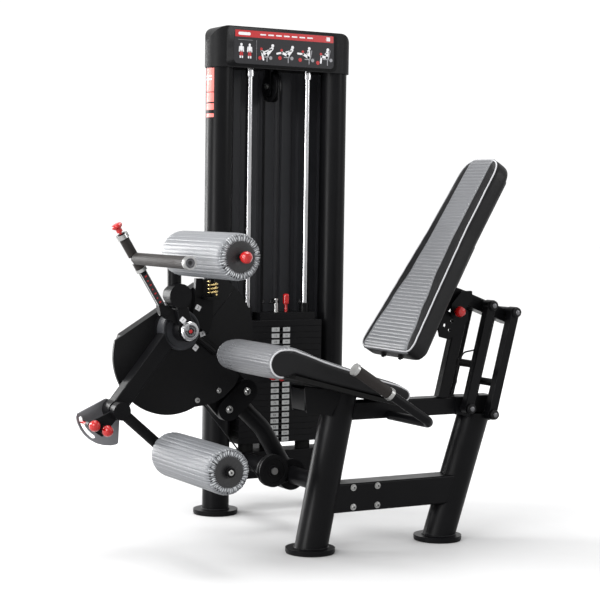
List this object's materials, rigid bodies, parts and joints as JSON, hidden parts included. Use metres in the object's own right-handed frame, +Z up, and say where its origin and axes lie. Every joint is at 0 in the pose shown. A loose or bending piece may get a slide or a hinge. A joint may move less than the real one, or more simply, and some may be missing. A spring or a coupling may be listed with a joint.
{
  "type": "leg extension machine",
  "caption": "Seated leg extension machine: raked seat and linked backrest, pivoting roller lever and thigh roller, cable driven plate stack in a two column tower.",
  "frame": {"origin": "floor level under the centre of the front seat foot plate", "axes": "+X towards the back of the seat, +Y from the seat to the weight tower, +Z up"},
  "size_m": [1.3596, 1.1079, 1.63],
  "materials": {
    "black_frame": "satin powder coat",
    "black_texture": "textured powder coat",
    "moulded_cover": "fine texture",
    "steel_plates": "satin black",
    "chrome_rod": "polished",
    "zinc_steel": "zinc plated",
    "spring_steel": "yellow zinc",
    "black_cable": "plain",
    "rubber_black": "matt",
    "grip_foam": "fine grain",
    "pulley_black": "satin",
    "knob_red": "glossy",
    "pin_yellow": "glossy",
    "seat_cover": "ribbed artificial leather, black sides",
    "roller_cover": "silver artificial leather, gathered ends",
    "placard_face": "printed",
    "pad_board": "plain",
    "silver_scale": "brushed"
  },
  "bodies": {
    "frame": {"left_column": "black_frame", "right_column": "black_frame", "rubber_pads": "rubber_black", "tower_beams": "black_frame", "top_cover": "moulded_cover", "placard": "placard_face", "rear_shroud": "black_texture", "guide_rods": "chrome_rod", "resting_plates": "steel_plates", "seat_front_leg": "black_frame", "seat_rear_leg": "black_frame", "lower_beam": "black_frame", "upper_beam": "black_frame", "seat_cushion": "seat_cover", "seat_base": "pad_board", "side_handles": "black_frame", "side_grips": "grip_foam", "side_grip_caps": "zinc_steel", "cross_tube": "black_frame", "drive_arm": "black_frame", "drive_bracket": "black_frame", "main_axle": "chrome_rod", "cover_right": "moulded_cover", "cover_left": "moulded_cover", "cover_rear": "moulded_cover", "buffer_spring": "spring_steel", "adjuster_post": "black_frame", "release_cable": "black_cable", "drive_cable": "black_cable", "frame_fasteners": "zinc_steel"},
    "leg_lever": {"leg_lever": "black_frame", "lever_wheel": "black_texture", "drive_cam": "pulley_black", "sector_plate": "black_frame"},
    "roller_arm": {"roller_arm": "black_frame"},
    "lower_roller": {"lower_roller": "roller_cover"},
    "index_knob_near": {"index_knob_near": "knob_red"},
    "index_knob_far": {"index_knob_far": "knob_red"},
    "hold_down": {"hold_down_arm": "black_frame", "scale_bar": "silver_scale", "hand_grips": "grip_foam", "grip_collars": "zinc_steel"},
    "handle_button": {"handle_button": "knob_red"},
    "roller_carriage": {"roller_carriage": "black_frame"},
    "top_roller": {"top_roller": "roller_cover"},
    "top_roller_knob": {"top_roller_knob": "knob_red"},
    "lifted_stack": {"lifted_plates": "steel_plates", "head_plate": "steel_plates", "selector_stem": "zinc_steel", "stack_cable": "black_cable"},
    "selector_pin": {"selector_pin": "pin_yellow"},
    "weight_knob": {"weight_knob": "knob_red"},
    "top_pulley": {"top_pulley": "pulley_black"},
    "base_pulley": {"base_pulley": "pulley_black"},
    "front_links": {"front_links": "black_frame"},
    "rear_links": {"rear_links": "black_frame"},
    "backrest": {"backrest_carrier": "black_frame", "backrest_cushion": "seat_cover", "backrest_board": "pad_board"},
    "adjuster_knob": {"adjuster_knob": "knob_red"}
  },
  "joints": [
    {"name": "leg_swing", "type": "hinge", "parent": "frame", "child": "leg_lever", "pos_m": [-0.316, 0, 0.659], "axis": [0, 1, 0], "range_deg": [0, 74]},
    {"name": "stack_lift", "type": "slide", "parent": "frame", "child": "lifted_stack", "axis": [0, 0, 1], "range_m": [0, 0.085], "deforming": ["stack_cable"]},
    {"name": "top_pulley_spin", "type": "hinge", "parent": "frame", "child": "top_pulley", "pos_m": [0.251, 0.739, 1.443], "axis": [1, 0, 0], "range_deg": [-98, 2]},
    {"name": "base_pulley_spin", "type": "hinge", "parent": "frame", "child": "base_pulley", "pos_m": [0.048, 0.328, 0.196], "axis": [0, 1, 0], "range_deg": [-98, 2]},
    {"name": "roller_arm_index", "type": "hinge", "parent": "leg_lever", "child": "roller_arm", "pos_m": [-0.527, 0.25, 0.427], "axis": [0, 1, 0], "range_deg": [-34, 6]},
    {"name": "lower_roller_spin", "type": "hinge", "parent": "roller_arm", "child": "lower_roller", "pos_m": [-0.375, 0, 0.295], "axis": [0, 1, 0], "continuous": true},
    {"name": "index_knob_near_pull", "type": "slide", "parent": "roller_arm", "child": "index_knob_near", "axis": [0, -1, 0], "range_m": [0, 0.012], "stiffness_N_per_m": 400, "springref_m": -0.004},
    {"name": "index_knob_far_pull", "type": "slide", "parent": "roller_arm", "child": "index_knob_far", "axis": [0, -1, 0], "range_m": [0, 0.012], "stiffness_N_per_m": 400, "springref_m": -0.004},
    {"name": "hold_down_swing", "type": "hinge", "parent": "frame", "child": "hold_down", "pos_m": [-0.316, 0, 0.659], "axis": [0, 1, 0], "range_deg": [-35, 12]},
    {"name": "handle_button_press", "type": "slide", "parent": "hold_down", "child": "handle_button", "axis": [0.5267, 0, -0.85], "range_m": [0, 0.003], "stiffness_N_per_m": 600, "springref_m": -0.002},
    {"name": "carriage_tilt", "type": "hinge", "parent": "hold_down", "child": "roller_carriage", "pos_m": [-0.345, 0.238, 0.765], "axis": [0, 1, 0], "range_deg": [-6, 20]},
    {"name": "top_roller_spin", "type": "hinge", "parent": "roller_carriage", "child": "top_roller", "pos_m": [-0.347, 0, 0.893], "axis": [0, 1, 0], "continuous": true},
    {"name": "top_roller_knob_pull", "type": "slide", "parent": "roller_carriage", "child": "top_roller_knob", "axis": [0, -1, 0], "range_m": [0, 0.012], "stiffness_N_per_m": 400, "springref_m": -0.004},
    {"name": "selector_pin_pull", "type": "slide", "parent": "lifted_stack", "child": "selector_pin", "axis": [0, -1, 0], "range_m": [0, 0.07]},
    {"name": "weight_knob_lift", "type": "slide", "parent": "lifted_stack", "child": "weight_knob", "axis": [0, 0, 1], "range_m": [0, 0.008], "stiffness_N_per_m": 500, "springref_m": -0.004},
    {"name": "front_link_swing", "type": "hinge", "parent": "frame", "child": "front_links", "pos_m": [0.523, 0, 0.417], "axis": [0, 1, 0], "range_deg": [-3, 5]},
    {"name": "rear_link_swing", "type": "hinge", "parent": "frame", "child": "rear_links", "pos_m": [0.612, 0, 0.394], "axis": [0, 1, 0], "range_deg": [-3.5, 5.5]},
    {"name": "backrest_level", "type": "hinge", "parent": "front_links", "child": "backrest", "pos_m": [0.603, 0, 0.736], "axis": [0, 1, 0], "range_deg": [-5.5, 3.5]},
    {"name": "adjuster_knob_pull", "type": "slide", "parent": "backrest", "child": "adjuster_knob", "axis": [0, -1, 0], "range_m": [0, 0.012], "stiffness_N_per_m": 400, "springref_m": -0.004}
  ],
  "couplings": [
    {"joint": "stack_lift", "follows": "leg_swing", "m_per_rad": 0.0625},
    {"joint": "top_pulley_spin", "follows": "leg_swing", "ratio": -1.2755},
    {"joint": "base_pulley_spin", "follows": "leg_swing", "ratio": -1.2755},
    {"joint": "rear_link_swing", "follows": "front_link_swing", "ratio": 1},
    {"joint": "backrest_level", "follows": "front_link_swing", "ratio": -1}
  ]
}
